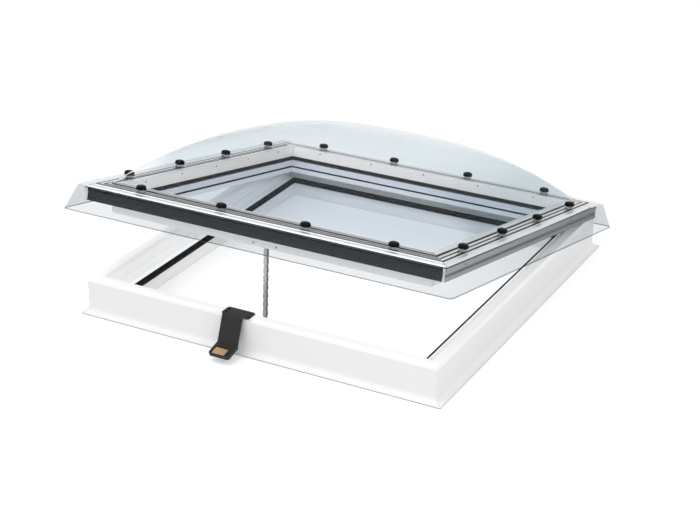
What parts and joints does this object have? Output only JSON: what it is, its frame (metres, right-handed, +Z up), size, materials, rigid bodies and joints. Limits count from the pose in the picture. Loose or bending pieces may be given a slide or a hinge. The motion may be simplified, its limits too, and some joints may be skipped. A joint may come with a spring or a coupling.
{
  "type": "flat roof dome window",
  "caption": "Opening flat roof dome window: clear domed cover over a glazed sash, shown raised by its push chain above a white kerb.",
  "frame": {"origin": "centre of the clear roof opening, in the plane of the kerb's underside", "axes": "+Z up, +X to the right along the front side, +Y to the back where the hinges are; the sash opens at the front, -Y"},
  "size_m": [1.274, 1.3013, 0.5165],
  "materials": {
    "white_pvc": "smooth white rigid plastic, satin",
    "seal_rubber": "black extruded seal",
    "rail_aluminium": "natural satin anodised",
    "charcoal_trim": "charcoal, satin",
    "pane_glass": "clear",
    "spacer_bar": "light grey warm-edge bar",
    "gasket_rubber": "dark grey glazing rubber",
    "clear_acrylic": "clear moulded acrylic",
    "black_caps": "black screw caps",
    "clear_collars": "clear collars",
    "hinge_steel": "zinc-plated",
    "chain_steel": "bright steel chain",
    "drive_housing_plastic": "white housing",
    "sensor_black": "black powder coat",
    "sensor_pad": "copper-coloured sensing pad"
  },
  "bodies": {
    "root": {"kerb_front": "white_pvc", "kerb_right": "white_pvc", "kerb_back": "white_pvc", "kerb_left": "white_pvc", "sash_front": "white_pvc", "sash_right": "white_pvc", "sash_back": "white_pvc", "sash_left": "white_pvc", "kerb_seal_front": "seal_rubber", "kerb_seal_right": "seal_rubber", "kerb_seal_back": "seal_rubber", "kerb_seal_left": "seal_rubber", "rail_front": "rail_aluminium", "rail_right": "rail_aluminium", "rail_back": "rail_aluminium", "rail_left": "rail_aluminium", "dark_strip_front": "charcoal_trim", "dark_strip_back": "charcoal_trim", "glass_inner": "pane_glass", "glass_outer": "pane_glass", "glass_spacer": "spacer_bar", "glazing_gasket": "gasket_rubber", "glass_bedding": "gasket_rubber", "dome": "clear_acrylic", "dome_flange": "clear_acrylic", "dome_skirt_front": "clear_acrylic", "dome_skirt_right": "clear_acrylic", "dome_skirt_back": "clear_acrylic", "dome_skirt_left": "clear_acrylic", "screw_caps": "black_caps", "cap_collars": "clear_collars", "hinge_kerb_leaves": "hinge_steel", "hinge_sash_leaves": "hinge_steel", "hinge_pins": "hinge_steel", "push_chain": "chain_steel", "chain_pin": "chain_steel", "chain_bracket": "chain_steel", "chain_drive": "drive_housing_plastic", "sensor_bracket": "sensor_black", "sensor_pad": "sensor_pad"}
  },
  "joints": []
}
